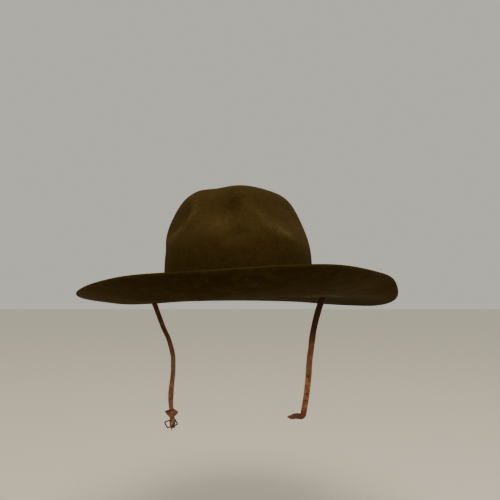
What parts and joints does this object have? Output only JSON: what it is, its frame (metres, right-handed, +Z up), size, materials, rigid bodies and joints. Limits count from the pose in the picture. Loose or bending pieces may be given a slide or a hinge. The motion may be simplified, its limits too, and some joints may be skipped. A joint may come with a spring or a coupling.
{
  "type": "campaign hat",
  "caption": "Soft worn felt campaign hat with a dented crown, a broad brim turned up in front, a torn sweatband and a two ended leather chin strap with a small buckle.",
  "frame": {"origin": "centre of the head opening, in the plane where the crown's base meets the brim", "axes": "+Z up through the crown, -Y to the hat's front, +X to the wearer's left; the hat is level"},
  "size_m": [0.361, 0.3909, 0.2912],
  "materials": {
    "felt": "matt olive brown fur felt, worn and uneven",
    "sweatband_leather": "dull dark brown leather, torn along its lower edge",
    "strap_leather": "russet strap leather, dry and creased",
    "steel": "dark dull steel wire"
  },
  "bodies": {
    "hat": {"felt_body": "felt", "sweatband": "sweatband_leather", "chin_strap": "strap_leather", "strap_keeper": "strap_leather", "buckle_frame": "steel"},
    "prong": {"buckle_prong": "steel"}
  },
  "joints": [
    {"name": "prong_swing", "type": "hinge", "parent": "hat", "child": "prong", "pos_m": [-0.07864, 0.01677, -0.15307], "axis": [0.8806, 0.441, 0.1736], "range_deg": [-188, 60]}
  ]
}
